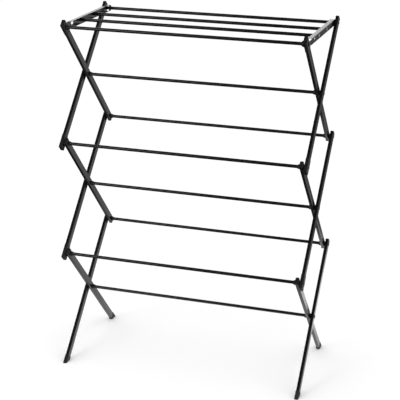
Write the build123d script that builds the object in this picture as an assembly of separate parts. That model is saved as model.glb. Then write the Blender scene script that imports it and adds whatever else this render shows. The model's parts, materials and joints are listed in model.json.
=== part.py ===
"""Free-standing folding clothes drying rack, modelled open.

Three crossed leg frames stand on one another on each side, joined by cross rods. A railed shelf
lies over the top. X runs across the rack, the front faces -Y and Z is up, with the origin on the
floor under the middle of the rack. All sizes are in millimetres.
"""
from build123d import *
import os
from math import asin, cos, degrees, tan

# Overall sizes
LEG_SPAN = 474.5        # end pivot to end pivot along one leg
STANCE = 332.0          # front pivots to back pivots when the rack is open
INNER_WIDTH = 682.0     # between the inner faces of the inner legs
FOOT_LIFT = 10.0        # floor to the point where the lowest pair of pivots would be

# Legs: flat steel tubes, the inner and the outer frames in two layers on each side
LEG_WIDTH = 20.0
LEG_THICK = 10.0
LEG_WALL = 0.8
LEG_CORNER = 2.4
LAYER_GAP = 3.0         # between the inner and the outer legs
TALL_END = 14.0         # steel past the back legs' top pivots
SLEEVED_END = 16.0      # steel past an end pivot inside an end sleeve

# Cross rods: round steel tubes
ROD_DIA = 9.5
ROD_WALL = 0.8

# Pivot rivets: a barrel in the rod and the inner leg, a thinner shank through the outer leg
SHANK_DIA = 5.0
BARREL_DEPTH = 16.0     # length of the barrel inside the rod
HEAD_DIA = 12.0
HEAD_THICK = 1.8
SHELF_HEAD_DIA = 9.0
SHELF_HEAD_THICK = 0.7
REST_HEAD_DIA = 13.0

# Collars and spacers of black plastic
COLLAR_DIA = 14.0
COLLAR_LENGTH = 7.0
TOP_COLLAR_DIA = 18.0   # at the top front rod, and of the discs on the top back rod
DISC_LENGTH = 2.5       # of those discs, which stand beside the rails' flanges
SPACER_DIA = 15.0

# Plastic leg ends
CAP_HEAD = 4.0
CAP_PLUG = 6.0
CAP_LIP = 0.4           # the cap's head stands proud of the tube by this
SLEEVE_SIDE = 0.6       # sleeve wall on the leg's broad faces
SLEEVE_EDGE = 1.5       # sleeve wall on the leg's narrow faces
SLEEVE_FLOOR = 3.0
SLEEVE_REACH = 25.0     # from the pivot up or down the leg
FOOT_SIDE = 0.9
FOOT_EDGE = 1.2
FOOT_PAD = 4.0          # plastic under the steel
FOOT_REACH = 13.0       # height of a foot's rim over the floor, on the leg's centre line
FOOT_PLUG = 30.0        # the same for the plug inside the leg

# Shelf: two channel rails that open inwards, and two rods
RAIL_HEIGHT = 19.0
RAIL_FLANGE = 12.0
RAIL_SHEET = 1.2
RAIL_BEND = 2.4         # outer radius of the sheet's bends
RAIL_LEG_ROOM = 11.0    # between the flanges' front ends and the inner leg
RAIL_SLOT_LENGTH = 18.0
RAIL_SLOT_HEIGHT = 9.0
RAIL_SLOT_SETBACK = 68.0    # from the top front rod to the slot's middle
SHELF_BACK_ROD_Y = 57.0
SHELF_FRONT_ROD_Y = -44.0
SEAT_OVERHANG = 6.0     # how far the rail's tip reaches past the top front rod's axis

# Fits
RUNNING = 0.05          # radial, round a pivot
OPEN_PIVOT = 0.3        # radial, where two frames meet with no hinge of their own
SIDE_PLAY = 0.2         # along a pivot, between parts that turn on each other
SEAT_PLAY = 0.3         # between the top front rivets and the rails' seats
PLUG_PLAY = 0.05        # between a cap's plug and the barrel beside it

# Places that follow from the sizes above
LEAN = asin(STANCE / LEG_SPAN)
LEVEL = LEG_SPAN * cos(LEAN)
HALF_SPAN = LEG_SPAN / 2
FRONT = -STANCE / 2
BACK = STANCE / 2
ROD_BORE = ROD_DIA - 2 * ROD_WALL
BARREL_R = ROD_BORE / 2
SHANK_R = SHANK_DIA / 2
LEG_END = BARREL_R + PLUG_PLAY + CAP_PLUG   # steel past an end pivot where the leg has a plug cap
INNER_FACE = INNER_WIDTH / 2
INNER_OUT = INNER_FACE + LEG_THICK
OUTER_FACE = INNER_OUT + LAYER_GAP
OUTER_OUT = OUTER_FACE + LEG_THICK
INNER_MID = INNER_FACE + LEG_THICK / 2
OUTER_MID = OUTER_FACE + LEG_THICK / 2
WEB_IN = INNER_OUT + (LAYER_GAP - RAIL_SHEET) / 2
WEB_OUT = WEB_IN + RAIL_SHEET
TOP_Z = FOOT_LIFT + 3 * LEVEL
FRAME_Z = {
    "lower": FOOT_LIFT + 0.5 * LEVEL,
    "middle": FOOT_LIFT + 1.5 * LEVEL,
    "upper": FOOT_LIFT + 2.5 * LEVEL,
}
INNER_LEAN = degrees(LEAN)
OUTER_LEAN = -degrees(LEAN)
BIG = 4 * LEG_SPAN


def x_rod(x_from, x_to, radius, y, z):
    """Round bar along X."""
    return Pos((x_from + x_to) / 2, y, z) * Rot(0, 90, 0) * Cylinder(radius, x_to - x_from)


def x_ring(x_from, x_to, radius, bore, y, z):
    """Round bar along X with a hole through it."""
    return x_rod(x_from, x_to, radius, y, z) - x_rod(x_from - 1, x_to + 1, bore, y, z)


def both_sides(right_solids):
    """The right-hand solids and their mirror images on the left."""
    return right_solids + [mirror(solid, about=Plane.YZ) for solid in right_solids]


def leg_profile(side, edge):
    """The leg's outline, grown by side on its broad faces and by edge on its narrow ones."""
    corner = max(LEG_CORNER + min(side, edge), 0.5)
    return RectangleRounded(LEG_THICK + 2 * side, LEG_WIDTH + 2 * edge, corner)


def bar(profile, low, high):
    """A profile drawn out along Z between two heights."""
    return Pos(0, 0, low) * extrude(profile, high - low)


def bore_leg(solid, bores):
    """Cuts cross holes, given as pairs of height along the leg and radius."""
    for height, radius in bores:
        solid -= x_rod(-2 * LEG_THICK, 2 * LEG_THICK, radius, 0, height)
    return solid


def stand(solid, layer_x, frame, lean):
    """Moves a solid from the leg's own frame, with its middle pivot at the origin, to its place."""
    return Pos(layer_x, 0, FRAME_Z[frame]) * Rot(lean, 0, 0) * solid


def above(solid, height):
    """What lies over a height."""
    return solid - Pos(0, 0, height - BIG / 2) * Box(BIG, BIG, BIG)


def leg_tube(low, high, bores):
    """Steel tube from low to high along the leg, with cross holes."""
    tube = bar(leg_profile(0, 0), low, high) - bar(leg_profile(-LEG_WALL, -LEG_WALL), low - 1, high + 1)
    return bore_leg(tube, bores)


def plug_cap(end, upward):
    """Plastic cap pushed into a tube's end, which lies at the height end."""
    head = bar(leg_profile(CAP_LIP, CAP_LIP), 0, CAP_HEAD)
    head = chamfer(head.faces().sort_by(Axis.Z)[-1].edges(), CAP_HEAD / 4)
    plug = bar(leg_profile(-LEG_WALL, -LEG_WALL), -CAP_PLUG, 0)
    cap = head + plug
    if not upward:
        cap = Rot(180, 0, 0) * cap
    return Pos(0, 0, end) * cap


def end_sleeve(tube_end, upward, bore):
    """Plastic sleeve over a leg's end, closed past the steel and bored for its pivot."""
    reach = tube_end - HALF_SPAN + SLEEVE_REACH
    shell = bar(leg_profile(SLEEVE_SIDE, SLEEVE_EDGE), -reach, SLEEVE_FLOOR)
    shell = fillet(shell.faces().sort_by(Axis.Z)[-1].edges(), SLEEVE_SIDE)
    shell -= bar(leg_profile(0, 0), -reach - 1, 0)
    shell = Pos(0, 0, tube_end) * shell
    shell = bore_leg(shell, [(HALF_SPAN, bore)])
    return shell if upward else Rot(180, 0, 0) * shell


def foot(lean, layer_x):
    """Plastic foot: a rim round the leg's lower end, a plug in it and a pad cut level at the floor."""
    rim_top = -(FRAME_Z["lower"] - FOOT_REACH) / cos(LEAN)
    plug_top = -(FRAME_Z["lower"] - FOOT_PLUG) / cos(LEAN)
    rim = stand(bar(leg_profile(FOOT_SIDE, FOOT_EDGE), -LEG_SPAN, rim_top), layer_x, "lower", lean)
    steel = stand(bar(leg_profile(0, 0), -LEG_SPAN, 0), layer_x, "lower", lean)
    plug = stand(bar(leg_profile(-LEG_WALL, -LEG_WALL), -LEG_SPAN, plug_top), layer_x, "lower", lean)
    return above(rim, 0) - above(steel, FOOT_PAD) + above(plug, FOOT_PAD)


def standing_leg(lean, layer_x, top_bore, middle_bore):
    """A lower leg, cut level a pad's thickness over the floor."""
    tube = leg_tube(-LEG_SPAN, HALF_SPAN + LEG_END, [(0, middle_bore), (HALF_SPAN, top_bore)])
    return above(stand(tube, layer_x, "lower", lean), FOOT_PAD)


def rod_tube(half_length, y, z):
    """Hollow cross rod."""
    return x_ring(-half_length, half_length, ROD_DIA / 2, BARREL_R, y, z)


def headed(x_from, x_head, radius, head_dia, head_thick, y, z):
    """A pin along X that ends in a rounded rivet head."""
    head = x_rod(x_head, x_head + head_thick, head_dia / 2, y, z)
    head = fillet(head.faces().sort_by(Axis.X)[-1].edges(), 0.6 * head_thick)
    return x_rod(x_from, x_head + head_thick / 2, radius, y, z) + head


def pivot_rivet(y, z, outer_wall):
    """Right-hand rivet that joins a rod, an inner leg and an outer leg with outer_wall on its face."""
    barrel = x_rod(INNER_FACE - BARREL_DEPTH, INNER_OUT, BARREL_R, y, z)
    head_x = OUTER_OUT + outer_wall + SIDE_PLAY
    return barrel + headed(INNER_OUT - 1, head_x, SHANK_R, HEAD_DIA, HEAD_THICK, y, z)


def spacer(y, z, outer_wall, inner_play):
    """Right-hand spacer ring between an inner and an outer leg."""
    low = INNER_OUT + inner_play
    high = OUTER_FACE - outer_wall - SIDE_PLAY
    return x_ring(low, high, SPACER_DIA / 2, SHANK_R, y, z)


def collar(y, z, diameter, inner_wall):
    """Right-hand plastic collar round a rod's end, inner_wall clear of the inner leg."""
    high = INNER_FACE - inner_wall
    ring = x_rod(high - COLLAR_LENGTH, high, diameter / 2, y, z)
    ring = chamfer(ring.faces().sort_by(Axis.X)[0].edges(), COLLAR_LENGTH / 4)
    return ring - x_rod(high - COLLAR_LENGTH - 1, high + 1, ROD_DIA / 2, y, z)


def upper_inner_frame():
    """Inner legs from the top front rod down to the upper back rod."""
    middle = FRAME_Z["upper"]
    low = middle - LEVEL / 2
    tube = leg_tube(-HALF_SPAN - LEG_END, HALF_SPAN + SLEEVED_END,
                    [(-HALF_SPAN, BARREL_R), (0, BARREL_R), (HALF_SPAN, BARREL_R)])
    leg = stand(tube, INNER_MID, "upper", INNER_LEAN)
    sleeve = stand(end_sleeve(HALF_SPAN + SLEEVED_END, True, BARREL_R), INNER_MID, "upper", INNER_LEAN)
    cap = stand(plug_cap(-HALF_SPAN - LEG_END, False), INNER_MID, "upper", INNER_LEAN)
    rest_head = WEB_OUT + SEAT_PLAY
    rest = headed(INNER_FACE - BARREL_DEPTH, rest_head, BARREL_R, REST_HEAD_DIA, HEAD_THICK, FRONT, TOP_Z)
    return {
        "inner_upper_leg_left": [mirror(leg, about=Plane.YZ)],
        "inner_upper_leg_right": [leg],
        "top_front_rod": [rod_tube(INNER_FACE - SLEEVE_SIDE, FRONT, TOP_Z)],
        "upper_centre_rod": [rod_tube(INNER_FACE, 0, middle)],
        "upper_back_rod": [rod_tube(INNER_FACE, BACK, low)],
        "inner_upper_rivets": both_sides([rest, pivot_rivet(0, middle, 0), pivot_rivet(BACK, low, 0)]),
        "inner_upper_collars": both_sides([
            collar(FRONT, TOP_Z, TOP_COLLAR_DIA, SLEEVE_SIDE),
            collar(0, middle, COLLAR_DIA, 0),
            collar(BACK, low, COLLAR_DIA, 0)]),
        "inner_upper_spacers": both_sides([spacer(0, middle, 0, 0), spacer(BACK, low, 0, 0)]),
        "top_front_sleeves": both_sides([sleeve]),
        "inner_upper_end_caps": both_sides([cap]),
    }


def middle_inner_frame():
    """Inner legs from the middle front rod down to the middle back rod."""
    middle = FRAME_Z["middle"]
    high = middle + LEVEL / 2
    low = middle - LEVEL / 2
    tube = leg_tube(-HALF_SPAN - LEG_END, HALF_SPAN + LEG_END,
                    [(-HALF_SPAN, BARREL_R), (0, BARREL_R), (HALF_SPAN, BARREL_R)])
    leg = stand(tube, INNER_MID, "middle", INNER_LEAN)
    caps = [stand(plug_cap(HALF_SPAN + LEG_END, True), INNER_MID, "middle", INNER_LEAN),
            stand(plug_cap(-HALF_SPAN - LEG_END, False), INNER_MID, "middle", INNER_LEAN)]
    return {
        "inner_middle_leg_left": [mirror(leg, about=Plane.YZ)],
        "inner_middle_leg_right": [leg],
        "middle_front_rod": [rod_tube(INNER_FACE, FRONT, high)],
        "middle_centre_rod": [rod_tube(INNER_FACE, 0, middle)],
        "middle_back_rod": [rod_tube(INNER_FACE, BACK, low)],
        "inner_middle_rivets": both_sides([
            pivot_rivet(FRONT, high, SLEEVE_SIDE),
            pivot_rivet(0, middle, 0),
            pivot_rivet(BACK, low, 0)]),
        "inner_middle_collars": both_sides([
            collar(FRONT, high, COLLAR_DIA, 0),
            collar(0, middle, COLLAR_DIA, 0),
            collar(BACK, low, COLLAR_DIA, 0)]),
        "inner_middle_spacers": both_sides([
            spacer(FRONT, high, SLEEVE_SIDE, 0),
            spacer(0, middle, 0, 0),
            spacer(BACK, low, 0, 0)]),
        "inner_middle_end_caps": both_sides(caps),
    }


def lower_inner_frame():
    """Inner legs from the lower front rod down to the rear feet."""
    high = FRAME_Z["lower"] + LEVEL / 2
    leg = standing_leg(INNER_LEAN, INNER_MID, BARREL_R, BARREL_R + RUNNING)
    cap = stand(plug_cap(HALF_SPAN + LEG_END, True), INNER_MID, "lower", INNER_LEAN)
    return {
        "inner_lower_leg_left": [mirror(leg, about=Plane.YZ)],
        "inner_lower_leg_right": [leg],
        "lower_front_rod": [rod_tube(INNER_FACE, FRONT, high)],
        "inner_lower_rivets": both_sides([pivot_rivet(FRONT, high, SLEEVE_SIDE)]),
        "inner_lower_collars": both_sides([collar(FRONT, high, COLLAR_DIA, 0)]),
        "inner_lower_spacers": both_sides([spacer(FRONT, high, SLEEVE_SIDE, 0)]),
        "inner_lower_end_caps": both_sides([cap]),
        "rear_feet": both_sides([foot(INNER_LEAN, INNER_MID)]),
    }


def upper_outer_frame():
    """Outer legs from the top back rod down to the middle front rod."""
    bores = [(-HALF_SPAN, SHANK_R + RUNNING), (0, SHANK_R + RUNNING), (HALF_SPAN, SHANK_R + RUNNING)]
    tube = leg_tube(-HALF_SPAN - SLEEVED_END, HALF_SPAN + TALL_END, bores)
    leg = stand(tube, OUTER_MID, "upper", OUTER_LEAN)
    return {
        "outer_upper_leg_left": [mirror(leg, about=Plane.YZ)],
        "outer_upper_leg_right": [leg],
        "outer_upper_end_caps": both_sides(
            [stand(plug_cap(HALF_SPAN + TALL_END, True), OUTER_MID, "upper", OUTER_LEAN)]),
        "outer_upper_end_sleeves": both_sides([outer_sleeve("upper")]),
    }


def middle_outer_frame():
    """Outer legs from the upper back rod down to the lower front rod."""
    bores = [(-HALF_SPAN, SHANK_R + RUNNING), (0, SHANK_R + RUNNING), (HALF_SPAN, SHANK_R + OPEN_PIVOT)]
    tube = leg_tube(-HALF_SPAN - SLEEVED_END, HALF_SPAN + LEG_END, bores)
    leg = stand(tube, OUTER_MID, "middle", OUTER_LEAN)
    return {
        "outer_middle_leg_left": [mirror(leg, about=Plane.YZ)],
        "outer_middle_leg_right": [leg],
        "outer_middle_end_caps": both_sides(
            [stand(plug_cap(HALF_SPAN + LEG_END, True), OUTER_MID, "middle", OUTER_LEAN)]),
        "outer_middle_end_sleeves": both_sides([outer_sleeve("middle")]),
    }


def outer_sleeve(frame):
    """Right-hand sleeve on the lower end of an outer leg."""
    sleeve = end_sleeve(HALF_SPAN + SLEEVED_END, False, SHANK_R + RUNNING)
    return stand(sleeve, OUTER_MID, frame, OUTER_LEAN)


def lower_outer_frame():
    """Outer legs from the middle back rod down to the front feet."""
    leg = standing_leg(OUTER_LEAN, OUTER_MID, SHANK_R + OPEN_PIVOT, SHANK_R + RUNNING)
    return {
        "outer_lower_leg_left": [mirror(leg, about=Plane.YZ)],
        "outer_lower_leg_right": [leg],
        "outer_lower_end_caps": both_sides(
            [stand(plug_cap(HALF_SPAN + LEG_END, True), OUTER_MID, "lower", OUTER_LEAN)]),
        "front_feet": both_sides([foot(OUTER_LEAN, OUTER_MID)]),
    }


def lower_centre():
    """The lower centre rod, which both lower frames turn on."""
    middle = FRAME_Z["lower"]
    return {
        "lower_centre_rod": [rod_tube(INNER_FACE - SIDE_PLAY, 0, middle)],
        "lower_centre_rivets": both_sides([pivot_rivet(0, middle, 0)]),
        "lower_centre_collars": both_sides([collar(0, middle, COLLAR_DIA, SIDE_PLAY)]),
        "lower_centre_spacers": both_sides([spacer(0, middle, 0, SIDE_PLAY / 2)]),
    }


def top_back():
    """The top back rod, which the shelf's rails and the upper outer frame turn on."""
    rod_end = WEB_IN - SEAT_PLAY
    shoulder = OUTER_FACE - SIDE_PLAY
    barrel = x_rod(rod_end - BARREL_DEPTH, shoulder, BARREL_R, BACK, TOP_Z)
    head_x = OUTER_OUT + SIDE_PLAY
    rivet = barrel + headed(shoulder - 1, head_x, SHANK_R, HEAD_DIA, HEAD_THICK, BACK, TOP_Z)
    disc_x = WEB_OUT - RAIL_FLANGE - SIDE_PLAY
    disc = x_ring(disc_x - DISC_LENGTH, disc_x, TOP_COLLAR_DIA / 2, ROD_DIA / 2, BACK, TOP_Z)
    return {
        "top_back_rod": [rod_tube(rod_end, BACK, TOP_Z)],
        "top_back_rivets": both_sides([rivet]),
        "top_back_collars": both_sides([disc]),
    }


def channel(length):
    """Bent sheet channel that opens towards -X, drawn out towards -Y from the middle of its mouth."""
    inner_corner = RAIL_BEND - RAIL_SHEET
    outline = RectangleRounded(2 * RAIL_FLANGE, RAIL_HEIGHT, RAIL_BEND)
    outline -= RectangleRounded(2 * (RAIL_FLANGE - RAIL_SHEET), RAIL_HEIGHT - 2 * RAIL_SHEET, inner_corner)
    outline -= Pos(-RAIL_FLANGE, 0) * Rectangle(2 * RAIL_FLANGE, 2 * RAIL_HEIGHT)
    return Rot(90, 0, 0) * extrude(outline, length)


def shelf_rail():
    """Right-hand rail: a channel that turns on the top back rod and rests on the top front rivet."""
    half = RAIL_HEIGHT / 2
    seat_r = BARREL_R + SEAT_PLAY
    flange_front = FRONT + LEG_WIDTH / 2 / cos(LEAN) + half * tan(LEAN) + RAIL_LEG_ROOM
    tip = FRONT - SEAT_OVERHANG
    web_x = (WEB_IN + WEB_OUT) / 2
    flat = RAIL_HEIGHT - 2 * RAIL_BEND
    web = Pos(web_x, (tip + BACK) / 2, TOP_Z) * Box(RAIL_SHEET, BACK - tip, flat)
    web += x_rod(WEB_IN, WEB_OUT, half, BACK, TOP_Z)
    mouth_y = FRONT - BIG / 2
    mouth = Pos(web_x, mouth_y, TOP_Z - BIG / 2 + seat_r) * Box(BIG, BIG, BIG)
    drop = Pos(web_x, FRONT + seat_r - BIG / 2, TOP_Z - BIG / 2) * Box(BIG, BIG, BIG)
    web = web - mouth - drop - x_rod(WEB_IN - 1, WEB_OUT + 1, seat_r, FRONT, TOP_Z)
    web += Pos(WEB_OUT - RAIL_FLANGE, BACK, TOP_Z) * channel(BACK - flange_front)
    web -= x_rod(WEB_IN - 1, WEB_OUT + 1, BARREL_R + RUNNING, BACK, TOP_Z)
    slot_y = FRONT + RAIL_SLOT_SETBACK
    slot_arc = RAIL_SLOT_HEIGHT / 2
    slot_flat = RAIL_SLOT_LENGTH - RAIL_SLOT_HEIGHT
    web -= Pos(web_x, slot_y, TOP_Z) * Box(2 * RAIL_SHEET, slot_flat, RAIL_SLOT_HEIGHT)
    for end_y in (slot_y - slot_flat / 2, slot_y + slot_flat / 2):
        web -= x_rod(WEB_IN - 1, WEB_OUT + 1, slot_arc, end_y, TOP_Z)
    for y in (SHELF_FRONT_ROD_Y, SHELF_BACK_ROD_Y):
        web -= x_rod(WEB_IN - 1, WEB_OUT + 1, SHANK_R, y, TOP_Z)
    return web


def shelf():
    """The top shelf: rails, its two rods and the rivets that hold them."""
    rail = shelf_rail()
    rivets = []
    for y in (SHELF_FRONT_ROD_Y, SHELF_BACK_ROD_Y):
        barrel = x_rod(WEB_IN - BARREL_DEPTH, WEB_IN, BARREL_R, y, TOP_Z)
        pin = headed(WEB_IN - 1, WEB_OUT, SHANK_R, SHELF_HEAD_DIA, SHELF_HEAD_THICK, y, TOP_Z)
        rivets.append(barrel + pin)
    return {
        "shelf_rail_left": [mirror(rail, about=Plane.YZ)],
        "shelf_rail_right": [rail],
        "shelf_front_rod": [rod_tube(WEB_IN, SHELF_FRONT_ROD_Y, TOP_Z)],
        "shelf_back_rod": [rod_tube(WEB_IN, SHELF_BACK_ROD_Y, TOP_Z)],
        "shelf_rivets": both_sides(rivets),
    }


os.makedirs("parts", exist_ok=True)
for section in (lower_centre, lower_inner_frame, lower_outer_frame, middle_inner_frame, middle_outer_frame,
                upper_inner_frame, upper_outer_frame, top_back, shelf):
    for node, solids in section().items():
        shape = solids[0] if len(solids) == 1 else Compound(children=solids)
        export_step(shape, f"parts/{node}.step")
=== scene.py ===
"""Looks of the folding clothes drying rack: its coats, plastics and rivets, and the studio round it.

X runs along the rods, the front faces -Y and Z is up, in metres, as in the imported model.
"""
import json
from math import atan2, hypot, pi, radians, sqrt

import bmesh
import bpy
from mathutils import Matrix, Vector


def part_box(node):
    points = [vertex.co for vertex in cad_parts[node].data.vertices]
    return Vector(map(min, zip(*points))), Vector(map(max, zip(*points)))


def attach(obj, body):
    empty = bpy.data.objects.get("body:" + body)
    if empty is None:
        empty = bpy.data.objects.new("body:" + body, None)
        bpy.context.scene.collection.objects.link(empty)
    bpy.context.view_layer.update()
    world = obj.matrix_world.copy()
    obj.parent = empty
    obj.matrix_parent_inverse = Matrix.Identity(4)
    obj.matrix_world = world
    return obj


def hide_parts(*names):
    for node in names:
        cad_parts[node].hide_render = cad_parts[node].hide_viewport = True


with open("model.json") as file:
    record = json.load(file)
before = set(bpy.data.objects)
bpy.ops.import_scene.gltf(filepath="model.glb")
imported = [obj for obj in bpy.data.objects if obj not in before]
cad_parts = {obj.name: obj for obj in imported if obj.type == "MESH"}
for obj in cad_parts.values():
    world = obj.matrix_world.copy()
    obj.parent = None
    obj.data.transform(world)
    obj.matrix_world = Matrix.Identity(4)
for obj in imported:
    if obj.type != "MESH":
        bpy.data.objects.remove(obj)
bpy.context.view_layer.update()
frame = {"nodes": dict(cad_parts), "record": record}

MM = 0.001

# Steel
TUBE_WALL = 0.8 * MM
TUBE_CORNER = 2.4 * MM
SHANK_RADIUS = 2.5 * MM
RUNNING_PLAY = 0.06 * MM        # round a shank that turns in a sleeve

# Rivets
BARREL_LEAD = 0.4 * MM
HEAD_RIM = 0.5 * MM
DIMPLE_EDGE = 0.30              # depths of the dimple, as shares of the head's thickness
DIMPLE_MIDDLE = 0.34

# Collars, discs and spacers
CORNER_SHARE = 0.3              # how far a rounded lip's middle point lies in, as a share of the lip
THIN_DISC = 4.0 * MM            # a collar shorter than this has no hub
DISC_LIP = 0.5 * MM
SPACER_LIP = 0.35 * MM
COLLAR_LIP = 0.7 * MM
HUB_LENGTH_SHARE = 0.45         # of a collar's length
HUB_RADIUS_SHARE = 0.62         # of the way from the bore to the flange's edge
FILLET_START = 0.2              # how far the fillet between hub and flange has risen, in lips
FILLET_MIDDLE = 0.5

# Caps and sleeves
CAP_WALL = 1.3 * MM
CAP_CROWN = 0.4                 # of the head's height
PLUG_LEAD = 0.5 * MM
PLUG_HOLLOW = 0.7               # of the plug's length
SLEEVE_ROUND = 0.9 * MM

# Feet
FOOT_PAD = 4.0 * MM
FOOT_ROUND = 0.5 * MM
PLUG_ROOT = 1.0 * MM            # how far the plug runs into the pad

# Reaches that pick out one solid's vertices in a shared node
AXIS_REACH = 14.0 * MM
END_REACH = 20.0 * MM
STEP_REACH = 1.0 * MM
ON_RIM = 0.97
SAME_RADIUS = 0.02 * MM
ON_FACE = 0.1 * MM

# Lengths that only have to pass right through a piece
DRILL_LENGTH = 40.0 * MM
RUN_PAST_FLOOR = 40.0 * MM
RUN_PAST_RIM = 60.0 * MM

# Fineness
TURNED_STEPS = 48
DOME_STEPS = 8
CORNER_STEPS = 5
MERGE_DISTANCE = 0.002 * MM
CUT_DISTANCE = 0.001 * MM
SHARP_ANGLE = radians(32)

# Finishes. The first three say how many specks, drifts and rubbed places there are in a metre.
DUST_SPECKS = 420.0
DUST_DRIFTS = 26.0
RUBBED_PLACES = 22.0
DUST_COLOUR = (0.16, 0.155, 0.15)
DUST_ROUGHENS = 0.4
MARKS_ROUGHEN = 0.25
MARK_DEPTH = 0.3                # as a share of the grain's height
EDGE_SAMPLES = 4
ALONG_LEG = (1.0, 1.0, 22.0)
ALONG_X = (22.0, 1.0, 1.0)
ALONG_Y = (1.0, 22.0, 1.0)
ALL_WAYS = (1.0, 1.0, 1.0)

# Camera
CAMERA_AIM = Vector((-0.0696, 0.0, 0.5680))
CAMERA_AZIMUTH = radians(18.416)
CAMERA_ELEVATION = radians(17.5035)
CAMERA_ROLL = radians(0.3473)
CAMERA_DISTANCE = 3.7165
CAMERA_LENS = 112.804
CAMERA_SENSOR = 36.0
CAMERA_SHIFT = (0.0598, -0.0591)

# The lamp at the front left
SOFTBOX_PLACE = (-1.9, -3.5, 1.85)
SOFTBOX_AIM = (0, 0, 0.6)
SOFTBOX_SIZE = (1.3, 1.3)
SOFTBOX_RADIANCE = 5.5

# The room: its light, and what glossy surfaces see of it. The edges are parts of a unit direction.
ROOM_FILL = 1.06
ROOM_IN_REFLECTIONS = 0.03
BACKDROP = 1.8
BACKDROP_EDGE = (0.55, 0.85)
BACKDROP_FOOT = (0.02, 0.16)
RIGHT_WALL = 0.6
RIGHT_WALL_EDGE = (0.16, 0.42)

# The floor, and the glow that glossy surfaces see on it: under the rack, and in a pool behind it
FLOOR_SIZE = 40.0
FLOOR_TONE = 0.96
FLOOR_ROUGHNESS = 0.9
UNDER_GLOW = 0.9
UNDER_REACH = 0.45
LEFT_POOL = 0.6
RIGHT_POOL = 1.9
POOL_REACH = 1.1
POOL_EDGE = (0.22, 0.40)
POOL_SIDES = (-0.15, 0.30)
REACH_FADE = (0.5, 1.2)

# The lower and the upper rod that lie on each leg's centre line
LEG_RODS = {
    "inner_lower": ("lower_centre_rod", "lower_front_rod"),
    "inner_middle": ("middle_back_rod", "middle_front_rod"),
    "inner_upper": ("upper_back_rod", "top_front_rod"),
    "outer_lower": ("lower_centre_rod", "middle_back_rod"),
    "outer_middle": ("middle_centre_rod", "upper_back_rod"),
    "outer_upper": ("upper_centre_rod", "top_back_rod"),
}

# The rods that each frame's rivets and collars sit on
PIVOT_RODS = {
    "lower_centre": ["lower_centre_rod"],
    "inner_lower": ["lower_front_rod"],
    "inner_middle": ["middle_front_rod", "middle_centre_rod", "middle_back_rod"],
    "inner_upper": ["top_front_rod", "upper_centre_rod", "upper_back_rod"],
    "top_back": ["top_back_rod"],
}
SHELF_RODS = ["shelf_front_rod", "shelf_back_rod"]

# The ends with a plug cap on each leg: True is the upper end
CAPPED_ENDS = {
    "inner_lower": [True],
    "inner_middle": [True, False],
    "inner_upper": [False],
    "outer_lower": [True],
    "outer_middle": [True],
    "outer_upper": [True],
}

record = frame["record"]
slot_of = {part["node"]: part["material_slot"] for part in record["subparts"]}
body_of = {node: body for body, nodes in record["behaviour"]["bodies"].items() for node in nodes}


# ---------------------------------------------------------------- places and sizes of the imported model

def centre_of(node):
    """The middle of a node's box."""
    low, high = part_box(node)
    return (low + high) / 2


def radius_of(rod):
    """A rod's outer radius."""
    low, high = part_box(rod)
    return (high.z - low.z) / 2


def rod_place(rod):
    """A frame on a rod's axis, in the middle of the rack."""
    middle = centre_of(rod)
    return Matrix.Translation((0, middle.y, middle.z))


def leg_place(leg):
    """A right-hand leg's own frame: Z runs up the tube, and the origin lies at the lower of its two rods."""
    lower, upper = (centre_of(rod) for rod in LEG_RODS[leg])
    along = (upper - lower).normalized()
    side = Vector((1, 0, 0))
    turn = Matrix((side, along.cross(side), along)).transposed().to_4x4()
    return Matrix.Translation((centre_of(leg + "_leg_right").x, lower.y, lower.z)) @ turn


def leg_lean(leg):
    """The leg's turn about X."""
    lower, upper = (centre_of(rod) for rod in LEG_RODS[leg])
    return atan2(lower.y - upper.y, upper.z - lower.z)


def right_points(node, place):
    """The vertices of a node's right-hand solids, in the frame place."""
    into = place.inverted()
    return [into @ vertex.co for vertex in frame["nodes"][node].data.vertices if vertex.co.x > 0]


def corners(points):
    """Lowest and highest corners of some points."""
    low = Vector([min(point[axis] for point in points) for axis in range(3)])
    high = Vector([max(point[axis] for point in points) for axis in range(3)])
    return low, high


def leg_corners(leg):
    """Corners of a right-hand leg tube in its own frame."""
    return corners(right_points(leg + "_leg_right", leg_place(leg)))


def profile_round(node, rod):
    """The (x, radius) of each vertex of a node's right-hand solid on a rod's axis."""
    pairs = [(point.x, hypot(point.y, point.z)) for point in right_points(node, rod_place(rod))]
    return [(x, radius) for x, radius in pairs if radius < AXIS_REACH]


def reach_of(profile):
    """A profile's two ends along X, and its largest radius."""
    along = [x for x, radius in profile]
    return min(along), max(along), max(radius for x, radius in profile)


# ---------------------------------------------------------------- shapes

def turned(outline, rod, closed=False):
    """Spins an outline of (x, radius) pairs a full turn about a rod's axis."""
    axis = centre_of(rod)
    bm = bmesh.new()
    verts = [bm.verts.new((x, axis.y, axis.z + radius)) for x, radius in outline]
    edges = [bm.edges.new(pair) for pair in zip(verts, verts[1:])]
    if closed:
        edges.append(bm.edges.new((verts[-1], verts[0])))
    bmesh.ops.spin(bm, geom=verts + edges, cent=(0, axis.y, axis.z), axis=(1, 0, 0), angle=2 * pi,
                   steps=TURNED_STEPS, use_merge=True)
    bmesh.ops.remove_doubles(bm, verts=bm.verts, dist=MERGE_DISTANCE)
    return bm


def rounded_bar(width, depth, low, high, corner):
    """A bar along Z with four rounded corners."""
    bm = bmesh.new()
    bmesh.ops.create_cube(bm, size=1)
    bmesh.ops.scale(bm, verts=bm.verts, vec=(width, depth, high - low))
    bmesh.ops.translate(bm, verts=bm.verts, vec=(0, 0, (low + high) / 2))
    upright = [edge for edge in bm.edges if abs(edge.verts[0].co.z - edge.verts[1].co.z) > (high - low) / 2]
    bmesh.ops.bevel(bm, geom=upright, offset=corner, offset_type="OFFSET", segments=CORNER_STEPS,
                    profile=0.5, affect="EDGES", material=-1)
    return bm


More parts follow.
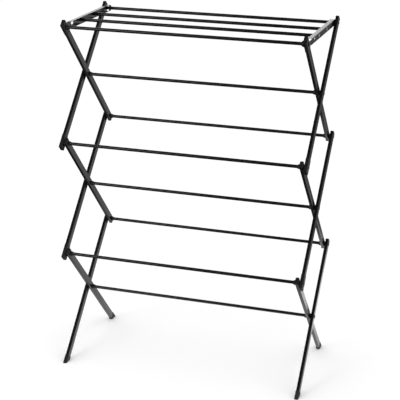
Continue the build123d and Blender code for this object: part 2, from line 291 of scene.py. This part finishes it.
def end_face(bm, top):
    """The highest or the lowest face."""
    faces = sorted(bm.faces, key=lambda face: face.calc_center_median().z)
    return faces[-1] if top else faces[0]


def round_rim(bm, face, radius, steps=3):
    """Rounds the edges of one face."""
    bmesh.ops.bevel(bm, geom=face.edges[:], offset=radius, offset_type="OFFSET", segments=steps,
                    profile=0.5, affect="EDGES", material=-1)


def draw_out(bm, face, height):
    """Extrudes a face along Z and gives back the face at the new end."""
    moved = bmesh.ops.extrude_discrete_faces(bm, faces=[face])["faces"][0]
    bmesh.ops.translate(bm, verts=moved.verts, vec=(0, 0, height))
    return moved


def inset(bm, face, width):
    """Insets a face and gives back the inner one."""
    bmesh.ops.inset_region(bm, faces=[face], thickness=width, use_even_offset=True)
    return face


def stand_on_leg(bm, leg, height, upwards):
    """Carries a shape from its own Z axis to a height on a leg, turned over if it points down the tube."""
    if not upwards:
        bmesh.ops.rotate(bm, verts=bm.verts, cent=(0, 0, 0), matrix=Matrix.Rotation(pi, 3, "X"))
    bmesh.ops.translate(bm, verts=bm.verts, vec=(0, 0, height))
    bmesh.ops.transform(bm, matrix=leg_place(leg), verts=bm.verts)


def as_object(bm, name):
    """Makes an object of a bmesh, with its faces pointing outwards."""
    bmesh.ops.recalc_face_normals(bm, faces=bm.faces)
    mesh = bpy.data.meshes.new(name)
    bm.to_mesh(mesh)
    bm.free()
    made = bpy.data.objects.new(name, mesh)
    bpy.context.scene.collection.objects.link(made)
    return made


def combine(bm, other, operation):
    """Cuts other out of bm, or joins the two into one solid."""
    body = as_object(bm, "body")
    tool = as_object(other, "tool")
    modifier = body.modifiers.new("combine", "BOOLEAN")
    modifier.operation = operation
    modifier.solver = "EXACT"
    modifier.object = tool
    bpy.context.view_layer.update()
    result = body.evaluated_get(bpy.context.evaluated_depsgraph_get())
    bm = bmesh.new()
    bm.from_mesh(result.to_mesh())
    result.to_mesh_clear()
    for used in (body, tool):
        mesh = used.data
        bpy.data.objects.remove(used)
        bpy.data.meshes.remove(mesh)
    return bm


def both_sides(solids, name, node):
    """Joins the right-hand solids and their mirror images into the piece that stands for a node."""
    bm = bmesh.new()
    for solid in solids:
        part = bpy.data.meshes.new("part")
        solid.to_mesh(part)
        solid.free()
        bm.from_mesh(part)
        bpy.data.meshes.remove(part)
    bmesh.ops.mirror(bm, geom=bm.verts[:] + bm.edges[:] + bm.faces[:], axis="X", merge_dist=0)
    piece = as_object(bm, name)
    for polygon in piece.data.polygons:
        polygon.use_smooth = True
    piece.data.set_sharp_from_angle(angle=SHARP_ANGLE)
    piece.data.materials.append(coat_of(node))
    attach(piece, body_of[node])
    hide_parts(node)


# ---------------------------------------------------------------- shared parts of the finishes

def new_group(name, inputs, output_names):
    """An empty shader group with its named sockets, and its two end nodes."""
    tree = bpy.data.node_groups.new(name, "ShaderNodeTree")
    for label, kind, value in inputs:
        socket = tree.interface.new_socket(label, in_out="INPUT", socket_type=kind)
        if value is not None:
            socket.default_value = value
    for label in output_names:
        tree.interface.new_socket(label, in_out="OUTPUT", socket_type="NodeSocketFloat")
    return tree, tree.nodes.new("NodeGroupInput"), tree.nodes.new("NodeGroupOutput")


def feed(tree, source, socket):
    """Gives a socket its value: another socket's, or a number."""
    if isinstance(source, bpy.types.NodeSocket):
        tree.links.new(source, socket)
    else:
        socket.default_value = source


def math_node(tree, operation, first, second):
    """A Math node; each operand is a socket or a number."""
    node = tree.nodes.new("ShaderNodeMath")
    node.operation = operation
    feed(tree, first, node.inputs[0])
    feed(tree, second, node.inputs[1])
    return node.outputs[0]


def ramp(tree, value, over, to=(0.0, 1.0)):
    """Carries a value smoothly from one range to another."""
    node = tree.nodes.new("ShaderNodeMapRange")
    node.interpolation_type = "SMOOTHSTEP"
    tree.links.new(value, node.inputs["Value"])
    for label, number in zip(("From Min", "From Max", "To Min", "To Max"), (*over, *to)):
        node.inputs[label].default_value = number
    return node.outputs["Result"]


def noise(tree, vector, scale, detail=2.0, rough=0.5):
    """Cloudy noise; scale says how many clouds there are in a metre."""
    node = tree.nodes.new("ShaderNodeTexNoise")
    node.inputs["Detail"].default_value = detail
    node.inputs["Roughness"].default_value = rough
    tree.links.new(vector, node.inputs["Vector"])
    feed(tree, scale, node.inputs["Scale"])
    return node.outputs["Fac"]


def make_grain_group():
    """Fine surface grain, as height, and slow patches in the finish."""
    tree, start, end = new_group(
        "fine_grain", [("Vector", "NodeSocketVector", None), ("Grain Scale", "NodeSocketFloat", 900.0),
                       ("Patch Scale", "NodeSocketFloat", 14.0)], ["Height", "Patches"])
    fine = noise(tree, start.outputs["Vector"], start.outputs["Grain Scale"])
    patches = noise(tree, start.outputs["Vector"], start.outputs["Patch Scale"], detail=4.0, rough=0.6)
    tree.links.new(fine, end.inputs["Height"])
    tree.links.new(ramp(tree, patches, over=(0.3, 0.7)), end.inputs["Patches"])
    return tree


def make_edge_group():
    """Where the coat has thinned or rubbed along edges."""
    tree, start, end = new_group(
        "edge_wear", [("Vector", "NodeSocketVector", None), ("Radius", "NodeSocketFloat", 0.0008),
                      ("Break Up", "NodeSocketFloat", 180.0)], ["Edges"])
    rounded = tree.nodes.new("ShaderNodeBevel")
    rounded.samples = EDGE_SAMPLES
    tree.links.new(start.outputs["Radius"], rounded.inputs["Radius"])
    surface = tree.nodes.new("ShaderNodeNewGeometry")
    match = tree.nodes.new("ShaderNodeVectorMath")
    match.operation = "DOT_PRODUCT"
    tree.links.new(rounded.outputs["Normal"], match.inputs[0])
    tree.links.new(surface.outputs["Normal"], match.inputs[1])
    turned_away = math_node(tree, "SUBTRACT", 1.0, match.outputs["Value"])
    sharp = ramp(tree, turned_away, over=(0.01, 0.20))
    clouds = noise(tree, start.outputs["Vector"], start.outputs["Break Up"], detail=4.0, rough=0.6)
    patchy = ramp(tree, clouds, over=(0.42, 0.66))
    tree.links.new(math_node(tree, "MULTIPLY", sharp, patchy), end.inputs["Edges"])
    return tree


def make_dust_group():
    """A thin film of dust on what faces up."""
    tree, start, end = new_group(
        "settled_dust", [("Vector", "NodeSocketVector", None), ("Cover", "NodeSocketFloat", 0.5)], ["Dust"])
    own = tree.nodes.new("ShaderNodeTexCoord")
    split = tree.nodes.new("ShaderNodeSeparateXYZ")
    tree.links.new(own.outputs["Normal"], split.inputs[0])
    upward = ramp(tree, split.outputs["Z"], over=(0.35, 1.0))
    fine = noise(tree, start.outputs["Vector"], DUST_SPECKS, detail=5.0, rough=0.7)
    specks = ramp(tree, fine, over=(0.48, 0.75))
    slow = noise(tree, start.outputs["Vector"], DUST_DRIFTS, detail=3.0)
    drifts = ramp(tree, slow, over=(0.35, 0.7), to=(0.25, 1.0))
    film = math_node(tree, "MULTIPLY", math_node(tree, "MULTIPLY", upward, specks), drifts)
    tree.links.new(math_node(tree, "MULTIPLY", film, start.outputs["Cover"]), end.inputs["Dust"])
    return tree


def make_scuff_group():
    """Fine rub marks that run the way the vector is stretched."""
    tree, start, end = new_group(
        "rub_marks", [("Stretched Vector", "NodeSocketVector", None), ("Vector", "NodeSocketVector", None),
                      ("Fineness", "NodeSocketFloat", 1500.0)], ["Marks"])
    streaks = noise(tree, start.outputs["Stretched Vector"], start.outputs["Fineness"], detail=3.0)
    lines = ramp(tree, streaks, over=(0.58, 0.72))
    places = ramp(tree, noise(tree, start.outputs["Vector"], RUBBED_PLACES), over=(0.48, 0.68))
    tree.links.new(math_node(tree, "MULTIPLY", lines, places), end.inputs["Marks"])
    return tree


groups = {
    "grain": make_grain_group(),
    "edges": make_edge_group(),
    "dust": make_dust_group(),
    "marks": make_scuff_group(),
}


def place_group(tree, group, vector, **values):
    """Puts a shared group into a material with its own values."""
    node = tree.nodes.new("ShaderNodeGroup")
    node.node_tree = group
    tree.links.new(vector, node.inputs["Vector"])
    for label, value in values.items():
        node.inputs[label.replace("_", " ")].default_value = value
    return node


def blend_colour(tree, mask, below, above):
    """Lays one colour over another; each is a socket or an (r, g, b)."""
    node = tree.nodes.new("ShaderNodeMix")
    node.data_type = "RGBA"
    tree.links.new(mask, node.inputs["Factor"])
    sockets = [socket for socket in node.inputs if socket.type == "RGBA"]
    for socket, colour in zip(sockets, (below, above)):
        opaque = (*colour, 1.0) if isinstance(colour, tuple) else colour
        feed(tree, opaque, socket)
    return [socket for socket in node.outputs if socket.type == "RGBA"][0]


# ---------------------------------------------------------------- finishes

def finish_of(name, base, patch, worn, roughness, rough_spread, grain, grain_height, edge, wear, dust,
              turn=(0.0, 0.0, 0.0), run=ALL_WAYS, marks=0.0, metal=0.0):
    """One surface finish.

    base and patch are the two tones the finish drifts between, and worn is what shows at rubbed edges.
    turn and run say which way the rub marks lie.
    """
    material = bpy.data.materials.new(name)
    material.use_nodes = True
    tree = material.node_tree
    shader = tree.nodes["Principled BSDF"]
    own = tree.nodes.new("ShaderNodeTexCoord").outputs["Object"]

    surface = place_group(tree, groups["grain"], own, Grain_Scale=grain)
    edges = place_group(tree, groups["edges"], own, Radius=edge)
    film = place_group(tree, groups["dust"], own, Cover=dust)
    stretch = tree.nodes.new("ShaderNodeMapping")
    stretch.vector_type = "TEXTURE"
    stretch.inputs["Rotation"].default_value = turn
    stretch.inputs["Scale"].default_value = run
    tree.links.new(own, stretch.inputs["Vector"])
    rubbed = place_group(tree, groups["marks"], own)
    tree.links.new(stretch.outputs["Vector"], rubbed.inputs["Stretched Vector"])

    marked = math_node(tree, "MULTIPLY", rubbed.outputs["Marks"], marks)
    bare = math_node(tree, "MULTIPLY", edges.outputs["Edges"], wear)
    colour = blend_colour(tree, surface.outputs["Patches"], base, patch)
    colour = blend_colour(tree, marked, colour, worn)
    colour = blend_colour(tree, bare, colour, worn)
    colour = blend_colour(tree, film.outputs["Dust"], colour, DUST_COLOUR)
    tree.links.new(colour, shader.inputs["Base Color"])

    roughened_by_marks = math_node(tree, "MULTIPLY", marked, MARKS_ROUGHEN)
    roughened_by_dust = math_node(tree, "MULTIPLY", film.outputs["Dust"], DUST_ROUGHENS)
    rough = math_node(tree, "MULTIPLY", surface.outputs["Patches"], rough_spread)
    rough = math_node(tree, "ADD", rough, roughness - rough_spread / 2)
    rough = math_node(tree, "ADD", rough, roughened_by_marks)
    rough = math_node(tree, "ADD", rough, roughened_by_dust)
    tree.links.new(rough, shader.inputs["Roughness"])

    mark_depth = math_node(tree, "MULTIPLY", marked, MARK_DEPTH)
    bump = tree.nodes.new("ShaderNodeBump")
    bump.inputs["Strength"].default_value = 1.0
    bump.inputs["Distance"].default_value = grain_height
    tree.links.new(math_node(tree, "SUBTRACT", surface.outputs["Height"], mark_depth), bump.inputs["Height"])
    tree.links.new(bump.outputs["Normal"], shader.inputs["Normal"])

    shader.inputs["Metallic"].default_value = metal
    return material


def grey(shade, blue=1.06):
    """A nearly neutral tone, a little to the blue."""
    return (shade, shade, shade * blue)


def coated_tube(name, lean, run):
    """Black powder coat, half gloss, with an orange-peel surface, on a tube that leans about X."""
    return finish_of(name, base=grey(0.0035), patch=grey(0.006), worn=grey(0.035), roughness=0.24,
                     rough_spread=0.06, grain=700.0, grain_height=0.010 * MM, edge=0.7 * MM, wear=0.5,
                     dust=0.03, turn=(lean, 0, 0), run=run, marks=0.2)


finishes = {
    "inner_leg": coated_tube("inner_leg_powder_coat", leg_lean("inner_upper"), ALONG_LEG),
    "outer_leg": coated_tube("outer_leg_powder_coat", leg_lean("outer_upper"), ALONG_LEG),
    "rod_tube": coated_tube("rod_powder_coat", 0, ALONG_X),
    "shelf_rail": coated_tube("rail_powder_coat", 0, ALONG_Y),
    "rivet": finish_of("blackened_rivet", base=grey(0.010), patch=grey(0.018), worn=grey(0.16),
                       roughness=0.32, rough_spread=0.10, grain=1600.0, grain_height=0.006 * MM,
                       edge=0.5 * MM, wear=0.7, dust=0.2, marks=0.2),
    "bright_rivet": finish_of("zinc_plated_rivet", base=(0.56, 0.57, 0.58), patch=(0.68, 0.68, 0.67),
                              worn=grey(0.75, 1.0), roughness=0.30, rough_spread=0.12, grain=2200.0,
                              grain_height=0.004 * MM, edge=0.3 * MM, wear=0.5, dust=0.1, marks=0.4,
                              metal=1.0),
    "plastic_fitting": finish_of("moulded_black_plastic", base=grey(0.005, 1.0), patch=grey(0.008, 1.0),
                                 worn=grey(0.035, 1.0), roughness=0.48, rough_spread=0.12, grain=2600.0,
                                 grain_height=0.010 * MM, edge=0.4 * MM, wear=0.5, dust=0.3,
                                 run=(1.0, 1.0, 6.0), marks=0.2),
    "foot": finish_of("soft_black_foot", base=grey(0.007, 1.0), patch=grey(0.013, 0.98),
                      worn=grey(0.06, 0.97), roughness=0.62, rough_spread=0.16, grain=1500.0,
                      grain_height=0.018 * MM, edge=0.6 * MM, wear=0.8, dust=0.5,
                      run=(1.0, 1.0, 4.0), marks=0.3),
}


def coat_of(node):
    """The finish of a node's piece: legs take the one whose rub marks run along them."""
    slot = slot_of[node]
    return finishes[node.split("_")[0] + "_leg"] if slot == "leg_tube" else finishes[slot]


def dress_cad_nodes():
    """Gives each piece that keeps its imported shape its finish."""
    for node in slot_of:
        mesh = frame["nodes"][node].data
        for index in range(len(mesh.materials)):
            mesh.materials[index] = coat_of(node)


# ---------------------------------------------------------------- rivets

def dome(under, top, radius, rim):
    """Outline of a domed head from its underside out to its crown, with a shallow dimple."""
    outline = [(under, radius - rim / 2), (under + rim / 2, radius)]
    for step in range(1, DOME_STEPS):
        out = radius * (1 - step / DOME_STEPS)
        outline.append((under + rim + (top - under - rim) * sqrt(1 - (out / radius) ** 2), out))
    dimple = outline[-1][1]
    outline.append((top - DIMPLE_EDGE * (top - under), dimple / 2))
    outline.append((top - DIMPLE_MIDDLE * (top - under), 0.0))
    return outline


def pivot_rivet(node, rod):
    """A rivet: a barrel in the rod and the inner leg, a shank and a domed head."""
    profile = profile_round(node, rod)
    start, top, head = reach_of(profile)
    under = min(x for x, radius in profile if radius > ON_RIM * head)
    barrel = max(radius for x, radius in profile if x < start + STEP_REACH)
    below_head = [(x, radius) for x, radius in profile if x < under - STEP_REACH]
    shoulder = max(x for x, radius in below_head if abs(radius - barrel) < SAME_RADIUS)
    # A barrel that runs right up to the head leaves no thinner shank.
    shank = SHANK_RADIUS if shoulder < under - 2 * STEP_REACH else barrel
    outline = [(start, 0.0), (start, barrel - BARREL_LEAD), (start + BARREL_LEAD, barrel)]
    outline += [(shoulder, barrel), (shoulder, shank), (under, shank)]
    return turned(outline + dome(under, top, head, HEAD_RIM), rod)


def make_rivets():
    """Turned rivets for every pivot and for the shelf's rods."""
    riveted = {**PIVOT_RODS, "shelf": SHELF_RODS}
    for group, rods in riveted.items():
        node = group + "_rivets"
        both_sides([pivot_rivet(node, rod) for rod in rods], "turned_" + node, node)


# ---------------------------------------------------------------- collars and spacers

def lip(x, radius, size, way):
    """Three points round an outer edge at x; way is 1 where a ring begins and -1 where it ends."""
    inward = CORNER_SHARE * size
    points = [(x, radius - size), (x + way * inward, radius - inward), (x + way * size, radius)]
    return points[::way]


def lipped_ring(low, high, bore, outer, size):
    """Outline of a ring with rounded outer lips."""
    return [(low, bore)] + lip(low, outer, size, 1) + lip(high, outer, size, -1) + [(high, bore)]


def collar(node, rod):
    """A moulded bush: a tapered hub along the rod and a flange against the leg, or a thin disc."""
    low, high, outer = reach_of(profile_round(node, rod))
    bore = radius_of(rod)
    length = high - low
    if length < THIN_DISC:
        return turned(lipped_ring(low, high, bore, outer, DISC_LIP), rod, closed=True)
    hub = bore + HUB_RADIUS_SHARE * (outer - bore)
    step = low + HUB_LENGTH_SHARE * length
    size = COLLAR_LIP
    outline = [(low, bore)] + lip(low, hub, size, 1)
    outline += [(step - size, hub + FILLET_START * size)]
    outline += [(step - CORNER_SHARE * size, hub + FILLET_MIDDLE * size), (step, hub + size)]
    outline += lip(step, outer, size, 1)
    outline += [(high - size / 2, outer), (high, outer - size / 2), (high, bore)]
    return turned(outline, rod, closed=True)


def spacer(node, rod):
    """A ring on the shank between the inner and the outer leg."""
    low, high, outer = reach_of(profile_round(node, rod))
    return turned(lipped_ring(low, high, SHANK_RADIUS, outer, SPACER_LIP), rod, closed=True)


def make_collars_and_spacers():
    """Moulded collars for every pivot, and spacers where two legs meet."""
    for group, rods in PIVOT_RODS.items():
        node = group + "_collars"
        both_sides([collar(node, rod) for rod in rods], "moulded_" + node, node)
        node = group + "_spacers"
        if node in slot_of:
            spaced = [rod for rod in rods if rod != "top_front_rod"]
            both_sides([spacer(node, rod) for rod in spaced], "moulded_" + node, node)


# ---------------------------------------------------------------- leg ends

def leg_end_height(leg, top):
    """Height of a tube's end in its leg's frame."""
    low, high = leg_corners(leg)
    return high.z if top else low.z


def half_thickness(leg):
    """Half a leg tube's size across its broad faces."""
    low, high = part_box(leg + "_leg_right")
    return (high.x - low.x) / 2


def plug_cap(leg, top):
    """A cap with a crowned head and a hollow plug, at one end of a leg."""
    end = leg_end_height(leg, top)
    points = [p for p in right_points(leg + "_end_caps", leg_place(leg)) if abs(p.z - end) < END_REACH]
    low, high = corners(points)
    head = high.z - end if top else end - low.z
    plug = end - low.z if top else high.z - end
    overhang = (high.x - low.x) / 2 - half_thickness(leg)
    bm = rounded_bar(high.x - low.x, high.y - low.y, 0, head, TUBE_CORNER + overhang)
    round_rim(bm, end_face(bm, True), CAP_CROWN * head, steps=4)
    face = inset(bm, end_face(bm, False), TUBE_WALL + overhang)
    face = draw_out(bm, face, -plug)
    round_rim(bm, face, PLUG_LEAD, steps=1)
    face = inset(bm, end_face(bm, False), CAP_WALL)
    draw_out(bm, face, PLUG_HOLLOW * plug)
    stand_on_leg(bm, leg, end, top)
    return bm


def make_end_caps():
    """Plug caps for the free ends of the legs."""
    for leg, ends in CAPPED_ENDS.items():
        node = leg + "_end_caps"
        both_sides([plug_cap(leg, top) for top in ends], "moulded_" + node, node)


def end_sleeve(leg, node, top, rod, bore):
    """A thin sleeve over a leg's end, closed past the steel and bored for its pivot."""
    place = leg_place(leg)
    low, high = corners(right_points(node, place))
    tube_low, tube_high = leg_corners(leg)
    closed, opened = (high.z, low.z) if top else (low.z, high.z)
    length = abs(closed - opened)
    floor = abs(closed - leg_end_height(leg, top))
    wall = (high.x - low.x - tube_high.x + tube_low.x) / 2
    tube_depth = tube_high.y - tube_low.y
    depth = high.y - low.y
    bm = rounded_bar(high.x - low.x, depth, 0, length, TUBE_CORNER + wall)
    round_rim(bm, end_face(bm, True), SLEEVE_ROUND)
    face = inset(bm, end_face(bm, False), wall)
    bmesh.ops.scale(bm, verts=face.verts, vec=(1, tube_depth / (depth - 2 * wall), 1))
    draw_out(bm, face, length - floor)
    stand_on_leg(bm, leg, opened, top)
    pivot = centre_of(rod)
    drill = bmesh.new()
    bmesh.ops.create_cone(drill, cap_ends=True, segments=TURNED_STEPS, radius1=bore, radius2=bore,
                          depth=DRILL_LENGTH)
    bmesh.ops.rotate(drill, verts=drill.verts, cent=(0, 0, 0), matrix=Matrix.Rotation(pi / 2, 3, "Y"))
    bmesh.ops.translate(drill, verts=drill.verts, vec=(place.translation.x, pivot.y, pivot.z))
    return combine(bm, drill, "DIFFERENCE")


def make_end_sleeves():
    """Sleeves for the top front ends and for the lower ends of the outer legs."""
    barrel = radius_of("top_front_rod") - TUBE_WALL
    running = SHANK_RADIUS + RUNNING_PLAY
    fitted = [
        ("inner_upper", "top_front_sleeves", True, "top_front_rod", barrel),
        ("outer_upper", "outer_upper_end_sleeves", False, "middle_front_rod", running),
        ("outer_middle", "outer_middle_end_sleeves", False, "lower_front_rod", running),
    ]
    for leg, node, top, rod, bore in fitted:
        both_sides([end_sleeve(leg, node, top, rod, bore)], "moulded_" + node, node)


# ---------------------------------------------------------------- feet

def cut_level(bm, height):
    """Takes away what lies under a height and closes the cut."""
    cut = bmesh.ops.bisect_plane(bm, geom=bm.verts[:] + bm.edges[:] + bm.faces[:], dist=CUT_DISTANCE,
                                 plane_co=(0, 0, height), plane_no=(0, 0, 1), clear_inner=True)
    bmesh.ops.edgeloop_fill(bm, edges=[e for e in cut["geom_cut"] if isinstance(e, bmesh.types.BMEdge)])


def foot(leg, node):
    """A foot: a rim round the leg's lower end, a plug inside it, and a pad cut level at the floor."""
    place = leg_place(leg)
    points = right_points(node, place)
    low, high = corners(points)
    tube_low, tube_high = leg_corners(leg)
    tube = tube_high - tube_low
    rim_top = max(p.z for p in points if abs(p.x) > (high.x - low.x) / 2 - ON_FACE)
    below = low.z - RUN_PAST_FLOOR
    rim = rounded_bar(high.x - low.x, 2 * high.y, below, rim_top, TUBE_CORNER + FOOT_ROUND)
    round_rim(rim, end_face(rim, True), FOOT_ROUND)
    steel = rounded_bar(tube.x, tube.y, below, rim_top + RUN_PAST_RIM, TUBE_CORNER)
    plug = rounded_bar(tube.x - 2 * TUBE_WALL, tube.y - 2 * TUBE_WALL, below, high.z, TUBE_CORNER - TUBE_WALL)
    round_rim(plug, end_face(plug, True), FOOT_ROUND)
    for bm, height in ((rim, 0.0), (steel, FOOT_PAD), (plug, FOOT_PAD - PLUG_ROOT)):
        bmesh.ops.transform(bm, matrix=place, verts=bm.verts)
        cut_level(bm, height)
    return combine(combine(rim, steel, "DIFFERENCE"), plug, "UNION")


def make_feet():
    """The four feet, under the inner legs at the back and the outer legs at the front."""
    both_sides([foot("inner_lower", "rear_feet")], "moulded_rear_feet", "rear_feet")
    both_sides([foot("outer_lower", "front_feet")], "moulded_front_feet", "front_feet")


# ---------------------------------------------------------------- studio

def make_camera():
    """The camera stands to the rack's right and looks slightly down on it."""
    data = bpy.data.cameras.new("camera")
    data.lens = CAMERA_LENS
    data.sensor_width = CAMERA_SENSOR
    data.shift_x, data.shift_y = CAMERA_SHIFT
    camera = bpy.data.objects.new("camera", data)
    turn = Matrix.Rotation(CAMERA_AZIMUTH, 4, "Z")
    turn = turn @ Matrix.Rotation(radians(90) - CAMERA_ELEVATION, 4, "X")
    turn = turn @ Matrix.Rotation(CAMERA_ROLL, 4, "Z")
    back = turn @ Vector((0, 0, 1))
    camera.matrix_world = Matrix.Translation(CAMERA_AIM + back * CAMERA_DISTANCE) @ turn
    bpy.context.scene.collection.objects.link(camera)
    bpy.context.scene.camera = camera


def make_softbox():
    """A square lamp at the front left."""
    width, height = SOFTBOX_SIZE
    data = bpy.data.lights.new("left_softbox", "AREA")
    data.shape = "RECTANGLE"
    data.size = width
    data.size_y = height
    data.energy = SOFTBOX_RADIANCE * pi * width * height
    lamp = bpy.data.objects.new("left_softbox", data)
    facing = (Vector(SOFTBOX_AIM) - Vector(SOFTBOX_PLACE)).to_track_quat("-Z", "Y").to_matrix().to_4x4()
    lamp.matrix_world = Matrix.Translation(SOFTBOX_PLACE) @ facing
    bpy.context.scene.collection.objects.link(lamp)


def mix_shaders(tree, factor, first, second):
    """Goes from the first shader to the second as the factor goes from 0 to 1."""
    node = tree.nodes.new("ShaderNodeMixShader")
    for source, socket in zip((factor, first, second), node.inputs):
        tree.links.new(source, socket)
    return node.outputs[0]


def make_world():
    """A white room. In reflections it is dim, with a bright backdrop low behind the rack."""
    world = bpy.data.worlds.new("studio")
    bpy.context.scene.world = world
    world.use_nodes = True
    world.cycles.sampling_method = "NONE"
    tree = world.node_tree
    tree.nodes.clear()
    path = tree.nodes.new("ShaderNodeLightPath")
    direction = tree.nodes.new("ShaderNodeTexCoord")
    split = tree.nodes.new("ShaderNodeSeparateXYZ")
    tree.links.new(direction.outputs["Generated"], split.inputs[0])

    white = (1, 1, 1, 1)
    fill = tree.nodes.new("ShaderNodeBackground")
    fill.inputs["Color"].default_value = white
    fill.inputs["Strength"].default_value = ROOM_FILL

    behind = ramp(tree, split.outputs["Y"], over=BACKDROP_EDGE)
    above_floor = ramp(tree, split.outputs["Z"], over=BACKDROP_FOOT)
    backdrop = math_node(tree, "MULTIPLY", math_node(tree, "MULTIPLY", behind, above_floor), BACKDROP)
    right = ramp(tree, split.outputs["X"], over=RIGHT_WALL_EDGE, to=(0.0, RIGHT_WALL))
    room = math_node(tree, "ADD", right, ROOM_IN_REFLECTIONS)
    mirrored = tree.nodes.new("ShaderNodeBackground")
    mirrored.inputs["Color"].default_value = white
    tree.links.new(math_node(tree, "ADD", backdrop, room), mirrored.inputs["Strength"])

    out = tree.nodes.new("ShaderNodeOutputWorld")
    seen = mix_shaders(tree, path.outputs["Is Glossy Ray"], fill.outputs[0], mirrored.outputs[0])
    tree.links.new(seen, out.inputs["Surface"])


def floor_reflection(tree, path):
    """What glossy surfaces see of the floor: a glow close by, and nothing past its reach."""
    spot = tree.nodes.new("ShaderNodeNewGeometry")
    split = tree.nodes.new("ShaderNodeSeparateXYZ")
    tree.links.new(spot.outputs["Position"], split.inputs[0])
    behind = ramp(tree, split.outputs["Y"], over=POOL_EDGE)
    further = math_node(tree, "MULTIPLY", behind, POOL_REACH - UNDER_REACH)
    reach = math_node(tree, "ADD", further, UNDER_REACH)
    nearness = math_node(tree, "DIVIDE", path.outputs["Ray Length"], reach)
    near = ramp(tree, nearness, over=REACH_FADE, to=(1.0, 0.0))
    pool = ramp(tree, split.outputs["X"], over=POOL_SIDES, to=(LEFT_POOL, RIGHT_POOL))
    glow = tree.nodes.new("ShaderNodeMix")
    tree.links.new(behind, glow.inputs["Factor"])
    glow.inputs["A"].default_value = UNDER_GLOW
    tree.links.new(pool, glow.inputs["B"])
    lit = tree.nodes.new("ShaderNodeEmission")
    tree.links.new(glow.outputs["Result"], lit.inputs["Strength"])
    clear = tree.nodes.new("ShaderNodeBsdfTransparent")
    return mix_shaders(tree, near, clear.outputs[0], lit.outputs[0])


def make_floor():
    """A plain pale floor. Reflections show it only close by."""
    bm = bmesh.new()
    bmesh.ops.create_grid(bm, x_segments=1, y_segments=1, size=FLOOR_SIZE)
    mesh = bpy.data.meshes.new("floor")
    bm.to_mesh(mesh)
    bm.free()
    floor = bpy.data.objects.new("floor", mesh)
    bpy.context.scene.collection.objects.link(floor)
    material = bpy.data.materials.new("pale_floor")
    material.use_nodes = True
    tree = material.node_tree
    shader = tree.nodes["Principled BSDF"]
    shader.inputs["Base Color"].default_value = (FLOOR_TONE, FLOOR_TONE, FLOOR_TONE, 1)
    shader.inputs["Roughness"].default_value = FLOOR_ROUGHNESS
    shader.inputs["Specular IOR Level"].default_value = 0.0
    path = tree.nodes.new("ShaderNodeLightPath")
    reflected = floor_reflection(tree, path)
    seen = mix_shaders(tree, path.outputs["Is Glossy Ray"], shader.outputs[0], reflected)
    tree.links.new(seen, tree.nodes["Material Output"].inputs["Surface"])
    mesh.materials.append(material)


dress_cad_nodes()
make_rivets()
make_collars_and_spacers()
make_end_caps()
make_end_sleeves()
make_feet()

bpy.context.scene.view_settings.view_transform = "Standard"
make_camera()
make_world()
make_floor()
make_softbox()
